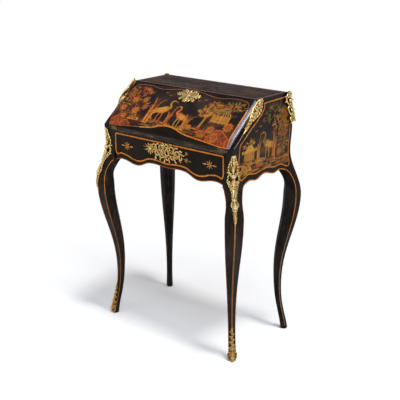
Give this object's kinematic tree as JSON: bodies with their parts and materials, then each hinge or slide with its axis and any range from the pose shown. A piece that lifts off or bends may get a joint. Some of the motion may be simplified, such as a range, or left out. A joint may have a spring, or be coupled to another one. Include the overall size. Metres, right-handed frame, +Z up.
{
  "type": "slant-front desk",
  "caption": "Slant-front writing desk on cabriole legs: black painted lacquer case with bombe sides, hinged sloping lid, shaped frieze drawer, fitted inside and pierced gilt bronze mounts.",
  "frame": {"origin": "centre of the desk's footprint, on the floor", "axes": "+Z up, front and sloping lid towards -Y, +X to the right seen from the front"},
  "size_m": [0.661, 0.3915, 0.9034],
  "materials": {
    "black_lacquer": "gloss",
    "gilt_bronze": "satin",
    "brass": "satin",
    "lock_steel": "satin",
    "oak": "matte",
    "rosewood": "satin",
    "leather": "satin"
  },
  "bodies": {
    "carcass": {"leg_front_left": "black_lacquer", "leg_front_right": "black_lacquer", "leg_back_left": "black_lacquer", "leg_back_right": "black_lacquer", "side_panel_left": "black_lacquer", "side_panel_right": "black_lacquer", "top_board": "black_lacquer", "writing_board": "black_lacquer", "front_rail": "black_lacquer", "top_rail": "oak", "back_panel": "oak", "dust_board": "oak", "drawer_runner_left": "oak", "drawer_runner_right": "oak", "inner_shelf": "rosewood", "drawer_divider_left": "rosewood", "drawer_divider_right": "rosewood", "pigeonhole_divider_left": "rosewood", "pigeonhole_divider_centre": "rosewood", "pigeonhole_divider_right": "rosewood", "hinge_fixed_leaf_left": "brass", "hinge_fixed_leaf_right": "brass", "hinge_pin_left": "brass", "hinge_pin_right": "brass", "knee_chute_left": "gilt_bronze", "knee_chute_right": "gilt_bronze", "slant_chute_left": "gilt_bronze", "slant_chute_right": "gilt_bronze", "back_chute_left": "gilt_bronze", "back_chute_right": "gilt_bronze", "sabot_left": "gilt_bronze", "sabot_right": "gilt_bronze"},
    "lid": {"lid_board": "black_lacquer", "lid_leather": "leather", "lid_lock_case": "brass", "lid_keyhole_plate": "gilt_bronze", "hinge_lid_leaf_left": "brass", "hinge_lid_leaf_right": "brass"},
    "drawer": {"drawer_front": "black_lacquer", "drawer_back": "oak", "drawer_bottom": "oak", "drawer_lock_case": "brass", "drawer_keyhole_plate": "gilt_bronze", "drawer_side_left": "oak", "drawer_side_right": "oak"},
    "small_drawer_left": {"small_drawer_front_left": "rosewood", "small_drawer_tray_left": "oak", "small_drawer_knob_left": "brass"},
    "small_drawer_centre": {"small_drawer_front_centre": "rosewood", "small_drawer_tray_centre": "oak", "small_drawer_knob_centre": "brass"},
    "small_drawer_right": {"small_drawer_front_right": "rosewood", "small_drawer_tray_right": "oak", "small_drawer_knob_right": "brass"},
    "lid_bolt": {"lid_lock_bolt": "lock_steel"},
    "drawer_bolt": {"drawer_lock_bolt": "lock_steel"}
  },
  "joints": [
    {"name": "lid_hinge", "type": "hinge", "parent": "carcass", "child": "lid", "pos_m": [0, -0.1716, 0.76], "axis": [1, 0, 0], "range_deg": [0, 141.5]},
    {"name": "drawer_slide", "type": "slide", "parent": "carcass", "child": "drawer", "axis": [0, -1, 0], "range_m": [0, 0.16]},
    {"name": "small_drawer_slide_left", "type": "slide", "parent": "carcass", "child": "small_drawer_left", "axis": [0, -1, 0], "range_m": [0, 0.06]},
    {"name": "small_drawer_slide_centre", "type": "slide", "parent": "carcass", "child": "small_drawer_centre", "axis": [0, -1, 0], "range_m": [0, 0.06]},
    {"name": "small_drawer_slide_right", "type": "slide", "parent": "carcass", "child": "small_drawer_right", "axis": [0, -1, 0], "range_m": [0, 0.06]},
    {"name": "lid_bolt_slide", "type": "slide", "parent": "lid", "child": "lid_bolt", "axis": [0, 0.7826, 0.6225], "range_m": [0, 0.005]},
    {"name": "drawer_bolt_slide", "type": "slide", "parent": "drawer", "child": "drawer_bolt", "axis": [0, 0, 1], "range_m": [0, 0.005]}
  ]
}
